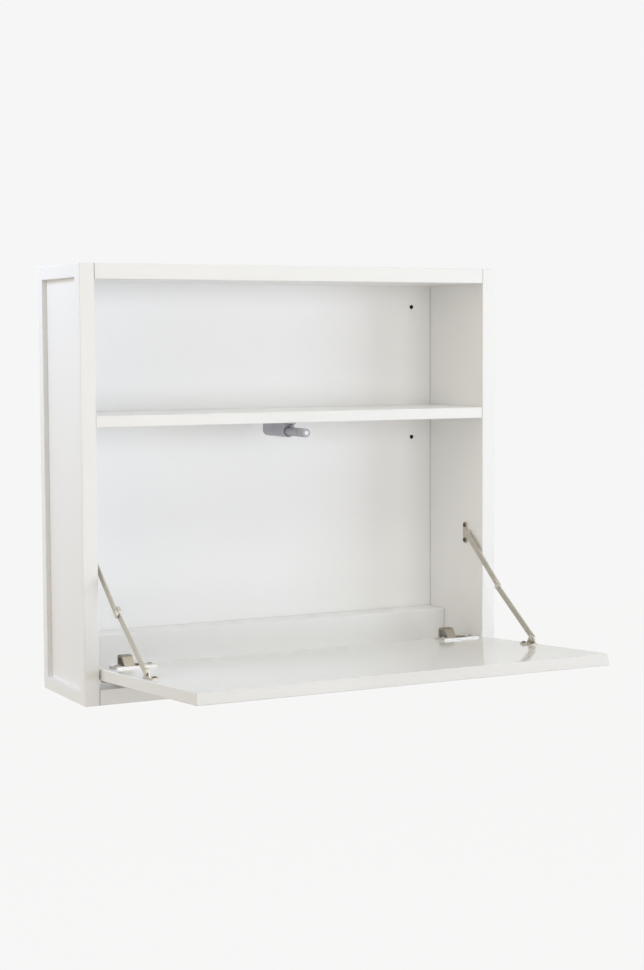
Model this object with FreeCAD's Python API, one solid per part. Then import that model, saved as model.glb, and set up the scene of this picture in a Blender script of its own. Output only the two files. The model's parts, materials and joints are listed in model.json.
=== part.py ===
import FreeCAD, Part
import math
import os

# Fold-down wall desk, in millimetres. While it is modelled, x runs across from the middle, y runs
# back from the front plane and z runs up from the underside. On export the origin moves to the
# middle of the four wall holes, on the rear plane that lies against the wall.

Vector = FreeCAD.Vector

# Carcass
cabinet_width = 650.0
cabinet_height = 596.0
cabinet_depth = 168.0
side_thickness = 21.3
front_stile_depth = 20.0
rear_stile_depth = 16.0
side_top_rail_height = 19.0
side_bottom_rail_height = 18.0
side_panel_recess = 7.0
tongue_depth = 4.0
tongue_thickness = 6.0
tongue_play = 0.2
top_thickness = 21.4
bottom_thickness = 21.5
shelf_thickness = 16.0
shelf_top_height = 392.0
shelf_setback = 1.0
back_thickness = 15.0
ledge_depth = 43.0
ledge_top_height = 78.0
ledge_board_thickness = 16.0
edge_radius = 1.2

# Holes for the wall screws
wall_hole_side_margin = 55.0
wall_hole_top_margin = 53.5
wall_hole_spacing_up = 200.0
wall_hole_diameter = 6.0

# Dowels of the carcass joints
dowel_diameter = 6.0
dowel_length = 30.0
dowel_seat_depth = 10.0
dowel_end_play = 0.5
dowel_edge_inset = 45.0
dowel_fit = 0.05
back_dowel_height_shares = (0.25, 0.85)
ledge_dowel_offset = 200.0

# Flap, drawn closed and then swung open to its rest place
flap_thickness = 16.0
flap_side_gap = 2.0
flap_top_gap = 2.0
flap_open_angle = 86.36
flap_swing_clearance = 0.7

# Cup hinges
hinge_inset = 68.5
hinge_axis_rise = 17.2
cup_diameter = 35.0
cup_edge_margin = 6.5
cup_depth = 13.0
cup_wall = 0.8
cup_floor_radius = 2.0
cup_bore_play = 0.1
cup_rim_width = 1.6
cup_cheek_thickness = 2.0
cup_cheek_radius = 3.2
cup_screw_spacing = 48.0
flange_width = 61.0
flange_depth = 29.0
flange_thickness = 2.6
flange_corner_radius = 2.5
flange_offset = 7.0
pin_diameter = 3.5
pin_fit = 0.05
pin_overhang = 0.5
arm_width = 15.0
arm_sheet = 1.5
arm_depth = 4.0
arm_side_play = 0.5
arm_swing_clearance = 5.0
arm_front_rise = 7.2
arm_top_rise = 21.2
arm_lean = 40.0
arm_bend_radius = 6.0
arm_foot_height = 8.0
arm_foot_length = 40.0
arm_foot_bend_radius = 3.0
arm_screw_setbacks = (11.0, 23.0)
knuckle_wall = 1.5
plate_thickness = 2.5
plate_wing_spacing = 32.0
plate_wing_radius = 8.0
plate_strip_radius = 8.5
plate_wing_setback = 20.0
plate_overhang = 4.0
spine_play = 0.2
spine_length = 30.0
spine_end_inset = 4.0

# Folding stays: pivots seen from the side, and the layers of sheet counted out from the side wall
stay_side_pivot_depth = 36.0
stay_side_pivot_height = 201.5
stay_middle_pivot_reach = 53.7
stay_middle_pivot_height = 131.0
stay_flap_pivot_distance = 174.1
stay_flap_pivot_rise = 8.9
stay_sheet = 2.0
stay_collar_thickness = 2.0
stay_layer_gap = 0.5
stay_upper_arm_width = 9.6
stay_lower_arm_width = 9.2
stay_eye_radius = 5.2
stay_rivet_diameter = 5.0
stay_rivet_head_diameter = 9.0
stay_rivet_head_height = 1.1
stay_rivet_crown_share = 0.7
stay_rivet_rim_share = 0.5
stay_rivet_proud = 0.2
stay_rivet_fit = 0.05
stay_lug_radius = 1.0
stay_lug_height = 2.0
stay_lug_side = 5.4
stay_lug_places = (2.0, 8.0)
stay_tail_reach = 7.0
stay_tail_radius = 3.3
side_bracket_radius = 4.8
side_bracket_screw_spacing = 22.6
side_bracket_ear_length = 11.5
flap_bracket_length = 32.0
flap_bracket_width = 11.2
flap_bracket_corner_radius = 3.0
flap_bracket_screw_spacing = 22.0
flap_bracket_ear_base = 20.0
flap_bracket_ear_radius = 4.8
flap_bracket_ear_foot_radius = 1.0

# Push latch under the shelf
latch_axis_drop = 13.5
latch_housing_front = 33.7
latch_housing_length = 73.0
latch_housing_width = 17.0
latch_housing_end_radius = 5.0
latch_mouth_wall = 1.2
latch_mouth_depth = 8.0
latch_plunger_diameter = 12.4
latch_plunger_play = 0.15
latch_plunger_hold = 20.0
latch_plunger_bore = 8.6
latch_plunger_wall = 3.0
latch_end_play = 2.0
latch_cap_reach = 22.5
latch_cap_length = 19.0
latch_cap_gap = 1.0
latch_cap_edge_radius = 1.0
latch_spigot_diameter = 9.0
latch_spigot_length = 7.0
latch_spigot_fit = 0.05
latch_tip_diameter = 5.8
latch_tip_depth = 1.6
latch_ear_thickness = 3.0
latch_front_ear_length = 12.0
latch_rear_ear_length = 14.0
latch_ear_screw_margin = 5.5

# Screws
screw_head_diameter = 7.0
screw_head_height = 2.0
screw_shank_diameter = 3.5
screw_length = 11.0
screw_tip_length = 2.5
screw_shoulder_share = 0.5
screw_crown_share = 0.5
screw_fit = 0.05
machine_screw_head_diameter = 6.0
machine_screw_head_height = 1.6
machine_screw_diameter = 3.0
machine_screw_length = 5.0

# One overrun serves every cut, one tolerance finds the arrises of a board, and turning is in degrees
overrun = 1.0
match_tolerance = 1e-6
full_turn = 360

# Places that follow from the sizes
outer_x = cabinet_width / 2
inner_x = outer_x - side_thickness
panel_thickness = side_thickness - side_panel_recess
back_front_y = cabinet_depth - back_thickness
ledge_front_y = back_front_y - ledge_depth
wall_hole_spacing_across = cabinet_width - 2 * wall_hole_side_margin
wall_hole_centre_height = cabinet_height - wall_hole_top_margin - wall_hole_spacing_up / 2
shelf_bottom_height = shelf_top_height - shelf_thickness
hinge_x = outer_x - hinge_inset
hinge_axis_y = flap_thickness / 2
flap_swing_radius = math.hypot(hinge_axis_rise, hinge_axis_y)
hinge_axis_z = bottom_thickness + flap_swing_radius + flap_swing_clearance
flap_bottom_z = hinge_axis_z - hinge_axis_rise
flap_top_z = shelf_bottom_height - flap_top_gap
cup_centre_z = flap_bottom_z + cup_edge_margin + cup_diameter / 2
flange_centre_z = cup_centre_z + flange_offset
cup_outer_radius = cup_diameter / 2 - cup_bore_play
cup_inner_radius = cup_outer_radius - cup_wall
cup_cheek_inner = arm_width / 2 + arm_side_play
cup_cheek_outer = cup_cheek_inner + cup_cheek_thickness
pin_radius = pin_diameter / 2
knuckle_radius = pin_radius + pin_fit + knuckle_wall
leg_inner_y = hinge_axis_y + flap_swing_radius + arm_swing_clearance
leg_outer_y = leg_inner_y + arm_depth
arm_front_y = hinge_axis_y - arm_sheet / 2
arm_top_z = hinge_axis_z + arm_top_rise
arm_brow_y = arm_front_y + (arm_top_rise - arm_front_rise) * math.tan(math.radians(arm_lean))
foot_bottom_z = bottom_thickness + plate_thickness
foot_top_z = foot_bottom_z + arm_foot_height
foot_end_y = leg_outer_y + arm_foot_length
rivet_radius = stay_rivet_diameter / 2
rivet_head_radius = stay_rivet_head_diameter / 2
upper_arm_layer = stay_sheet + stay_collar_thickness
lower_arm_layer = upper_arm_layer + stay_sheet + stay_layer_gap
flap_ear_layer = lower_arm_layer + stay_sheet + stay_layer_gap
latch_axis_z = shelf_bottom_height - latch_axis_drop
latch_housing_end = latch_housing_front + latch_housing_length
latch_bore_depth = latch_plunger_hold + latch_cap_reach + flap_thickness + latch_end_play
screw_shank_radius = screw_shank_diameter / 2

across = Vector(1, 0, 0)
back = Vector(0, 1, 0)
up = Vector(0, 0, 1)
origin = Vector(0, 0, wall_hole_centre_height) + back * cabinet_depth
hinge_axis_point = back * hinge_axis_y + up * hinge_axis_z


def arris_name(edge, low, high):
    """Name an edge of a box by the two faces that it joins, such as y-z+."""
    middle = edge.CenterOfMass
    name = ""
    for axis in "xyz":
        place = getattr(middle, axis)
        if abs(place - getattr(low, axis)) < match_tolerance:
            name += axis + "-"
        if abs(place - getattr(high, axis)) < match_tolerance:
            name += axis + "+"
    return name


def block(low, high):
    """A plain box between two corners."""
    return Part.makeBox(high.x - low.x, high.y - low.y, high.z - low.z, low)


def board(low, high, eased):
    """A board between two corners, with the named arrises rounded."""
    sawn = block(low, high)
    arrises = [edge for edge in sawn.Edges if arris_name(edge, low, high) in eased]
    return sawn.makeFillet(edge_radius, arrises)


def arris_waste(corner, along, inward, aside):
    """What a rounded arris leaves out: a square strip less its quarter round."""
    centre = corner + (inward + aside) * edge_radius
    first = corner + inward * edge_radius
    second = corner + aside * edge_radius
    middle = centre - (inward + aside) * (edge_radius * math.cos(math.pi / 4))
    outline = Part.Wire([
        Part.LineSegment(corner, first).toShape(),
        Part.Arc(first, middle, second).toShape(),
        Part.LineSegment(second, corner).toShape(),
    ])
    return Part.Face(outline).extrude(along)


def rod(radius, start, along):
    """A round bar from a start point along a vector."""
    return Part.makeCylinder(radius, along.Length, start, along)


def turned(profile, start, along):
    """Turn a (distance, radius) profile about an axis that runs from the start point."""
    direction = Vector(along).normalize()
    side = direction.cross(up)
    if side.Length < match_tolerance:
        side = Vector(across)
    side.normalize()
    points = [start + direction * distance + side * radius for distance, radius in profile]
    outline = Part.makePolygon(points + points[:1])
    return Part.Face(outline).revolve(start, direction, full_turn)


def belt_face(circles, place):
    """A face like a belt round circles (a, b, radius), given anticlockwise, put in space by place."""
    tangents = []
    for index, (a, b, radius) in enumerate(circles):
        next_a, next_b, next_radius = circles[(index + 1) % len(circles)]
        gap = math.hypot(next_a - a, next_b - b)
        lean = (radius - next_radius) / gap
        course = math.atan2(next_b - b, next_a - a)
        tangents.append(course - math.acos(lean))
    edges = []
    for index, (a, b, radius) in enumerate(circles):
        arrive = tangents[index - 1]
        leave = tangents[index]
        sweep = (leave - arrive) % (2 * math.pi)
        arc = [
            place(a + radius * math.cos(angle), b + radius * math.sin(angle))
            for angle in (arrive, arrive + sweep / 2, arrive + sweep)
        ]
        next_a, next_b, next_radius = circles[(index + 1) % len(circles)]
        landing = place(next_a + next_radius * math.cos(leave), next_b + next_radius * math.sin(leave))
        edges.append(Part.Arc(*arc).toShape())
        edges.append(Part.LineSegment(arc[-1], landing).toShape())
    return Part.Face(Part.Wire(edges))


def joined(first, *others):
    """Fuse solids into one, without seams between faces that run on."""
    return first.fuse(list(others)).removeSplitter()


def mirrored(shape):
    """The left-hand twin of a right-hand piece."""
    return shape.mirror(Vector(0, 0, 0), across)


def swung_open(shape):
    """Turn a piece of the closed flap about the hinge axis to the open rest place."""
    turned_shape = shape.copy()
    turned_shape.rotate(hinge_axis_point, across, flap_open_angle)
    return turned_shape


def opened_point(point):
    """Where a point of the closed flap lies when the flap is open."""
    arm = point - hinge_axis_point
    turn = FreeCAD.Rotation(across, flap_open_angle)
    return hinge_axis_point + turn.multVec(arm)


def save(name, *shapes):
    """Write one piece, or a group of like fasteners, with the origin at the wall holes."""
    whole = shapes[0] if len(shapes) == 1 else Part.makeCompound(list(shapes))
    placed = whole.copy()
    placed.translate(-origin)
    placed.exportStep("parts/" + name + ".step")


def save_pair(name, shape):
    """Write the right-hand piece and its left-hand twin."""
    save("right_" + name, shape)
    save("left_" + name, mirrored(shape))


def with_twins(shapes):
    """Right-hand fasteners or cutters together with their left-hand twins."""
    return list(shapes) + [mirrored(shape) for shape in shapes]


def screw(seat, inward, head_radius, head_height, shank_radius, length, tip_length):
    """A pan-head screw: the head stands on the seat, and the shank runs inward to a taper."""
    shoulder = head_height * screw_shoulder_share
    crown_radius = head_radius * screw_crown_share
    profile = [
        (-head_height, 0),
        (-head_height, crown_radius),
        (-shoulder, head_radius),
        (0, head_radius),
        (0, shank_radius),
        (length - tip_length, shank_radius),
        (length, 0),
    ]
    return turned(profile, seat, inward)


def wood_screw(seat, inward):
    """A wood screw for the hinge and stay fittings."""
    return screw(seat, inward, screw_head_diameter / 2, screw_head_height, screw_shank_radius,
                 screw_length, screw_tip_length)


def wood_screw_hole(seat, inward):
    """The hole that a wood screw fills in the fitting and in the board."""
    start = seat - inward * overrun
    return rod(screw_shank_radius + screw_fit, start, inward * (screw_length + overrun + screw_fit))


def dowel_run(joint, into_seat):
    """A dowel across a joint, with its two drilled holes as one cutter."""
    start = joint - into_seat * (dowel_length - dowel_seat_depth)
    pin = rod(dowel_diameter / 2, start, into_seat * dowel_length)
    hole_start = start - into_seat * dowel_end_play
    hole = rod(dowel_diameter / 2 + dowel_fit, hole_start, into_seat * (dowel_length + 2 * dowel_end_play))
    return pin, hole


def carcass_dowels():
    """Dowels and holes of each carcass joint on the right, and those of the ledge."""
    rows = (dowel_edge_inset, cabinet_depth - dowel_edge_inset)
    joints = {}
    heights = {
        "top": cabinet_height - top_thickness / 2,
        "bottom": bottom_thickness / 2,
        "shelf": shelf_top_height - shelf_thickness / 2,
    }
    for part, height in heights.items():
        joints[part] = [dowel_run(Vector(inner_x, row, height), across) for row in rows]
    back_y = cabinet_depth - back_thickness / 2
    joints["back"] = [
        dowel_run(Vector(inner_x, back_y, share * cabinet_height), across)
        for share in back_dowel_height_shares
    ]
    riser_y = ledge_front_y + ledge_board_thickness / 2
    joints["ledge_foot"] = [dowel_run(Vector(ledge_dowel_offset, riser_y, bottom_thickness), -up)]
    ledge_z = ledge_top_height - ledge_board_thickness / 2
    ledge_joint = Vector(ledge_dowel_offset, ledge_front_y + ledge_board_thickness, ledge_z)
    joints["ledge_back"] = [dowel_run(ledge_joint, -back)]
    return joints


def holes_of(joints, *parts):
    """The drilled holes of some joints on the right."""
    return [hole for part in parts for pin, hole in joints[part]]


def make_sides(joints, bracket_holes):
    """Right side frame: stiles, rails and a raised tongue panel, and its left twin."""
    groove_low = inner_x + (panel_thickness - tongue_thickness) / 2
    groove_high = groove_low + tongue_thickness
    rear_stile_y = cabinet_depth - rear_stile_depth
    top_rail_z = cabinet_height - side_top_rail_height
    panel_height = top_rail_z - side_bottom_rail_height
    rail_run = rear_stile_y - front_stile_depth
    tongue_reach = tongue_depth - tongue_play
    tenon_low = groove_low + tongue_play
    tenon_high = groove_high - tongue_play

    front_stile = board(
        Vector(inner_x, 0, 0), Vector(outer_x, front_stile_depth, cabinet_height),
        ("x-y-", "x+y-", "y-z-", "y-z+", "x+z-", "x+z+"))
    front_groove = block(
        Vector(groove_low, front_stile_depth - tongue_depth, -overrun),
        Vector(groove_high, front_stile_depth + overrun, cabinet_height + overrun))
    front_arris = arris_waste(
        Vector(outer_x, front_stile_depth, side_bottom_rail_height), up * panel_height, -across, -back)
    save_pair("front_stile", front_stile.cut([front_groove, front_arris]))

    rear_stile = board(
        Vector(inner_x, rear_stile_y, 0), Vector(outer_x, cabinet_depth, cabinet_height),
        ("x+y+", "x+z-", "x+z+"))
    rear_groove = block(
        Vector(groove_low, rear_stile_y - overrun, -overrun),
        Vector(groove_high, rear_stile_y + tongue_depth, cabinet_height + overrun))
    rear_arris = arris_waste(
        Vector(outer_x, rear_stile_y, side_bottom_rail_height), up * panel_height, -across, back)
    save_pair("rear_stile", rear_stile.cut([rear_groove, rear_arris] + holes_of(joints, "back")))

    rails = (
        ("side_top_rail", top_rail_z, cabinet_height, top_rail_z, up, "x+z+", "top"),
        ("side_bottom_rail", 0, side_bottom_rail_height, side_bottom_rail_height, -up, "x+z-", "bottom"),
    )
    for name, low_z, high_z, panel_edge_z, outward, arris, part in rails:
        rail = board(
            Vector(inner_x, front_stile_depth, low_z), Vector(outer_x, rear_stile_y, high_z), (arris,))
        tenon = block(
            Vector(tenon_low, front_stile_depth - tongue_reach, low_z),
            Vector(tenon_high, rear_stile_y + tongue_reach, high_z))
        groove_edges = sorted((panel_edge_z - outward.z * overrun, panel_edge_z + outward.z * tongue_depth))
        groove = block(
            Vector(groove_low, 0, groove_edges[0]), Vector(groove_high, cabinet_depth, groove_edges[1]))
        recess_arris = arris_waste(
            Vector(outer_x, front_stile_depth, panel_edge_z), back * rail_run, -across, outward)
        cuts = [groove, recess_arris] + holes_of(joints, part)
        save_pair(name, joined(rail, tenon).cut(cuts))

    core = block(
        Vector(inner_x, front_stile_depth, side_bottom_rail_height),
        Vector(inner_x + panel_thickness, rear_stile_y, top_rail_z))
    tongue = block(
        Vector(tenon_low, front_stile_depth - tongue_reach, side_bottom_rail_height - tongue_reach),
        Vector(tenon_high, rear_stile_y + tongue_reach, top_rail_z + tongue_reach))
    panel_cuts = holes_of(joints, "shelf") + bracket_holes
    save_pair("side_panel", joined(core, tongue).cut(panel_cuts))


def make_spanning_boards(joints, hinge_holes, latch_holes):
    """Top, bottom, shelf, back and ledge, which run from side to side."""
    front_arrises = ("y-z-", "y-z+")
    end_arrises = ("x-y-", "x+y-")
    top = board(
        Vector(-inner_x, 0, cabinet_height - top_thickness),
        Vector(inner_x, cabinet_depth, cabinet_height), front_arrises + end_arrises)
    save("top_panel", top.cut(with_twins(holes_of(joints, "top"))))

    bottom = board(
        Vector(-inner_x, 0, 0), Vector(inner_x, cabinet_depth, bottom_thickness), front_arrises + end_arrises)
    bottom_holes = holes_of(joints, "bottom", "ledge_foot") + hinge_holes
    save("bottom_panel", bottom.cut(with_twins(bottom_holes)))

    shelf = board(
        Vector(-inner_x, shelf_setback, shelf_bottom_height),
        Vector(inner_x, back_front_y, shelf_top_height), front_arrises)
    save("shelf", shelf.cut(with_twins(holes_of(joints, "shelf")) + latch_holes))

    back_panel = block(
        Vector(-inner_x, back_front_y, bottom_thickness),
        Vector(inner_x, cabinet_depth, cabinet_height - top_thickness))
    wall_holes = []
    for side in (-1, 1):
        for level in (-1, 1):
            start = Vector(
                side * wall_hole_spacing_across / 2, back_front_y - overrun,
                wall_hole_centre_height + level * wall_hole_spacing_up / 2)
            wall_holes.append(rod(wall_hole_diameter / 2, start, back * (back_thickness + 2 * overrun)))
    save("back_panel", back_panel.cut(wall_holes + with_twins(holes_of(joints, "back"))))

    riser_back_y = ledge_front_y + ledge_board_thickness
    riser = board(
        Vector(-inner_x, ledge_front_y, bottom_thickness), Vector(inner_x, riser_back_y, ledge_top_height),
        ("y-z+",))
    save("ledge_riser", riser.cut(with_twins(holes_of(joints, "ledge_foot", "ledge_back"))))
    ledge_top = block(
        Vector(-inner_x, riser_back_y, ledge_top_height - ledge_board_thickness),
        Vector(inner_x, back_front_y, ledge_top_height))
    save("ledge_top", ledge_top.cut(with_twins(holes_of(joints, "ledge_back"))))


def hinge_cup():
    """Right hinge cup in the closed flap: a drawn cup, a flange with two wings and pin cheeks."""
    floor = Vector(hinge_x, flap_thickness - cup_depth, cup_centre_z)
    face = Vector(hinge_x, flap_thickness, cup_centre_z)
    outside = rod(cup_outer_radius, floor, back * cup_depth)
    floor_edge = [edge for edge in outside.Edges
                  if abs(edge.CenterOfMass.y - floor.y) < match_tolerance]
    outside = outside.makeFillet(cup_floor_radius, floor_edge)
    inside = rod(cup_inner_radius, floor + back * cup_wall, back * (cup_depth + flange_thickness + overrun))
    rim = rod(cup_outer_radius + cup_rim_width, face, back * flange_thickness)
    half_run = flange_width / 2 - flange_corner_radius
    half_rise = flange_depth / 2 - flange_corner_radius
    corners = [
        (hinge_x + x_sign * half_run, flange_centre_z + z_sign * half_rise, flange_corner_radius)
        for x_sign, z_sign in ((-1, -1), (1, -1), (1, 1), (-1, 1))
    ]
    wings = belt_face(corners, lambda a, b: Vector(a, flap_thickness, b)).extrude(back * flange_thickness)
    shell = joined(outside, rim, wings).cut(inside)
    cheeks = []
    for side in (-1, 1):
        cheek_x = hinge_x + side * cup_cheek_inner
        sole_y = floor.y + cup_wall
        sole = cup_cheek_radius + cup_wall
        outline = belt_face(
            [
                (sole_y, hinge_axis_z - sole, cup_wall),
                (hinge_axis_y, hinge_axis_z, cup_cheek_radius),
                (sole_y, hinge_axis_z + sole, cup_wall),
            ],
            lambda a, b: Vector(cheek_x, a, b))
        cheeks.append(outline.extrude(across * (side * cup_cheek_thickness)))
    pin_hole = rod(pin_radius, Vector(hinge_x - cup_diameter / 2, hinge_axis_y, hinge_axis_z),
                   across * cup_diameter)
    bored_cheeks = [cheek.cut(pin_hole) for cheek in cheeks]
    return joined(shell, *bored_cheeks)


def hinge_pin():
    """Right hinge pin, held in the two cheeks of its cup."""
    reach = cup_cheek_outer + pin_overhang
    return rod(pin_radius, Vector(hinge_x - reach, hinge_axis_y, hinge_axis_z), across * (2 * reach))


def headings(corners, index):
    """Which way a bent line of (y, z, radius) corners arrives at one of them and which way it leaves."""
    legs = [
        math.atan2(after[1] - before[1], after[0] - before[0])
        for before, after in zip(corners, corners[1:])
    ]
    return legs[max(index - 1, 0)], legs[min(index, len(legs) - 1)]


def arm_corners(inset, end_y):
    """Outer line of the hinge arm from the pin to an end, drawn in by an inset: (y, z, bend radius)."""
    corners = [
        (arm_front_y, hinge_axis_z, 0),
        (arm_front_y, hinge_axis_z + arm_front_rise, arm_bend_radius),
        (arm_brow_y, arm_top_z, arm_bend_radius),
        (leg_outer_y, arm_top_z, arm_bend_radius),
        (leg_outer_y, foot_top_z, arm_foot_bend_radius),
        (end_y, foot_top_z, 0),
    ]
    drawn_in = []
    for index, (y, z, radius) in enumerate(corners):
        arrive, leave = headings(corners, index)
        middle = (arrive + leave) / 2
        reach = inset / math.cos((leave - arrive) / 2)
        bend = radius + math.copysign(inset, leave - arrive)
        drawn_in.append((y + reach * math.sin(middle), z - reach * math.cos(middle), bend))
    return drawn_in


def bent_edges(corners):
    """Straight edges and bends of a line of (y, z, radius) corners, in the middle plane of the hinge."""
    spots = [Vector(hinge_x, y, z) for y, z, radius in corners]
    edges = []
    place = spots[0]
    for index in range(1, len(corners) - 1):
        arrive, leave = headings(corners, index)
        radius = corners[index][2]
        trim = radius * math.tan(abs(leave - arrive) / 2)
        first = spots[index] - Vector(0, math.cos(arrive), math.sin(arrive)) * trim
        second = spots[index] + Vector(0, math.cos(leave), math.sin(leave)) * trim
        inward = ((first + second) / 2 - spots[index]).normalize()
        middle = spots[index] + inward * (math.hypot(trim, radius) - radius)
        edges.append(Part.LineSegment(place, first).toShape())
        edges.append(Part.Arc(first, middle, second).toShape())
        place = second
    edges.append(Part.LineSegment(place, spots[-1]).toShape())
    return edges


def arm_band(near, far, end_y, width):
    """A bent bar of the hinge arm's course between two insets, centred on the hinge."""
    ends = []
    edges = []
    for inset in (near, far):
        corners = arm_corners(inset, end_y)
        edges += bent_edges(corners)
        ends.append([Vector(hinge_x, y, z) for y, z, radius in (corners[0], corners[-1])])
    for near_end, far_end in zip(*ends):
        edges.append(Part.LineSegment(near_end, far_end).toShape())
    face = Part.Face(Part.Wire(Part.__sortEdges__(edges)))
    face.translate(across * (-width / 2))
    return face.extrude(across * width)


def arm_screw_seats():
    """Where the two arm screws stand on the top of the foot."""
    return [Vector(hinge_x, leg_outer_y + setback, foot_top_z) for setback in arm_screw_setbacks]


def arm_screw(seat):
    """A machine screw that clamps the hinge arm to its plate."""
    return screw(seat, -up, machine_screw_head_diameter / 2, machine_screw_head_height,
                 machine_screw_diameter / 2, machine_screw_length, 0)


def arm_screw_hole(seat):
    """The hole for an arm screw through the foot and into the spine."""
    depth = machine_screw_length + screw_fit
    return rod(machine_screw_diameter / 2 + screw_fit, seat + up * overrun, -up * (depth + overrun))


def hinge_arm():
    """Right hinge arm: one folded channel that arches from the pin over the flap's edge to its foot."""
    bar = arm_band(0, arm_depth, foot_end_y, arm_width)
    pocket = arm_band(arm_sheet, arm_depth + overrun, foot_end_y + overrun, arm_width - 2 * arm_sheet)
    start = Vector(hinge_x - arm_width / 2, hinge_axis_y, hinge_axis_z)
    knuckle = rod(knuckle_radius, start, across * arm_width)
    bore = rod(pin_radius + pin_fit, start - across * overrun, across * (arm_width + 2 * overrun))
    channel = joined(bar.cut(pocket), knuckle)
    return channel.cut([bore] + [arm_screw_hole(seat) for seat in arm_screw_seats()])


def plate_screw_seats():
    """Where the two wing screws stand on the mounting plate."""
    wing_y = leg_outer_y + plate_wing_setback
    return [Vector(hinge_x + side * plate_wing_spacing / 2, wing_y, foot_bottom_z) for side in (-1, 1)]


def hinge_plate():
    """Right mounting plate: a wing across, a strip under the arm and a spine inside its channel."""
    def flat(a, b):
        return Vector(a, b, bottom_thickness)

    wing_y = leg_outer_y + plate_wing_setback
    wing = belt_face(
        [(hinge_x + side * plate_wing_spacing / 2, wing_y, plate_wing_radius) for side in (-1, 1)], flat)
    strip_ends = (leg_inner_y + plate_strip_radius, foot_end_y + plate_overhang - plate_strip_radius)
    strip = belt_face([(hinge_x, end, plate_strip_radius) for end in strip_ends], flat)
    sole = joined(wing.extrude(up * plate_thickness), strip.extrude(up * plate_thickness))
    spine_half = arm_width / 2 - arm_sheet - spine_play
    spine_end_y = foot_end_y - spine_end_inset
    spine = block(
        Vector(hinge_x - spine_half, spine_end_y - spine_length, foot_bottom_z),
        Vector(hinge_x + spine_half, spine_end_y, foot_top_z - arm_sheet))
    holes = [wood_screw_hole(seat, -up) for seat in plate_screw_seats()]
    holes += [arm_screw_hole(seat) for seat in arm_screw_seats()]
    return joined(sole, spine).cut(holes)


def cup_screw_seats():
    """Where the two flange screws stand on the closed flap's inner face."""
    seat_y = flap_thickness + flange_thickness
    return [Vector(hinge_x + side * cup_screw_spacing / 2, seat_y, flange_centre_z) for side in (-1, 1)]


def make_hinges():
    """Both cup hinges, with the screws of the plates, arms and cups."""
    cup_seats = cup_screw_seats()
    cup = hinge_cup().cut([wood_screw_hole(seat, -back) for seat in cup_seats])
    save_pair("hinge_cup", swung_open(cup))
    save_pair("hinge_pin", hinge_pin())
    save_pair("hinge_arm", hinge_arm())
    save_pair("hinge_plate", hinge_plate())
    save("hinge_plate_screws", *with_twins([wood_screw(seat, -up) for seat in plate_screw_seats()]))
    save("hinge_arm_screws", *with_twins([arm_screw(seat) for seat in arm_screw_seats()]))
    cup_screws = [swung_open(wood_screw(seat, -back)) for seat in cup_seats]
    save("hinge_cup_screws", *with_twins(cup_screws))


def layer_plate(circles, layer):
    """A sheet of the stay: a belt face seen from the side, in a layer counted out from the wall."""
    face = belt_face(circles, lambda a, b: Vector(inner_x - layer - stay_sheet, a, b))
    return face.extrude(across * stay_sheet)


def layer_rod(radius, first_layer, last_layer, pivot):
    """A round bar across the stay between two distances from the wall."""
    start = Vector(inner_x - first_layer, pivot.y, pivot.z)
    return rod(radius, start, across * (first_layer - last_layer))


def rivet_head(pivot, layer, outward):
    """A low domed rivet head that stands on a layer."""
    crown = rivet_head_radius * stay_rivet_crown_share
    rim = stay_rivet_head_height * stay_rivet_rim_share
    profile = [(0, 0), (0, rivet_head_radius), (rim, rivet_head_radius), (stay_rivet_head_height, crown),
               (stay_rivet_head_height, 0)]
    return turned(profile, Vector(inner_x - layer, pivot.y, pivot.z), across * outward)


def side_bracket_seats():
    """Where the two screws stand on the side bracket."""
    seat_y = stay_side_pivot_depth + side_bracket_ear_length
    return [
        Vector(inner_x - stay_sheet, seat_y, stay_side_pivot_height + side * side_bracket_screw_spacing / 2)
        for side in (-1, 1)
    ]


def flap_bracket_seats(pivot):
    """Where the two screws stand on the bracket of the closed flap."""
    seat_x = inner_x - flap_ear_layer - flap_bracket_width / 2 - stay_sheet / 2
    return [
        Vector(seat_x, flap_thickness + stay_sheet, pivot.z + side * flap_bracket_screw_spacing / 2)
        for side in (-1, 1)
    ]


def side_bracket(pivot):
    """Upright strip on the side wall, with an ear that runs forward to the pivot."""
    lower, upper = side_bracket_seats()
    strip = layer_plate([(seat.y, seat.z, side_bracket_radius) for seat in (lower, upper)], 0)
    ear = layer_plate(
        [(pivot.y, pivot.z, stay_eye_radius), (lower.y, pivot.z, side_bracket_radius)], 0)
    holes = [wood_screw_hole(seat, across) for seat in (lower, upper)]
    rivet_hole = layer_rod(rivet_radius + stay_rivet_fit, stay_sheet + overrun, -overrun, pivot)
    return joined(strip, ear).cut(holes + [rivet_hole])


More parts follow.
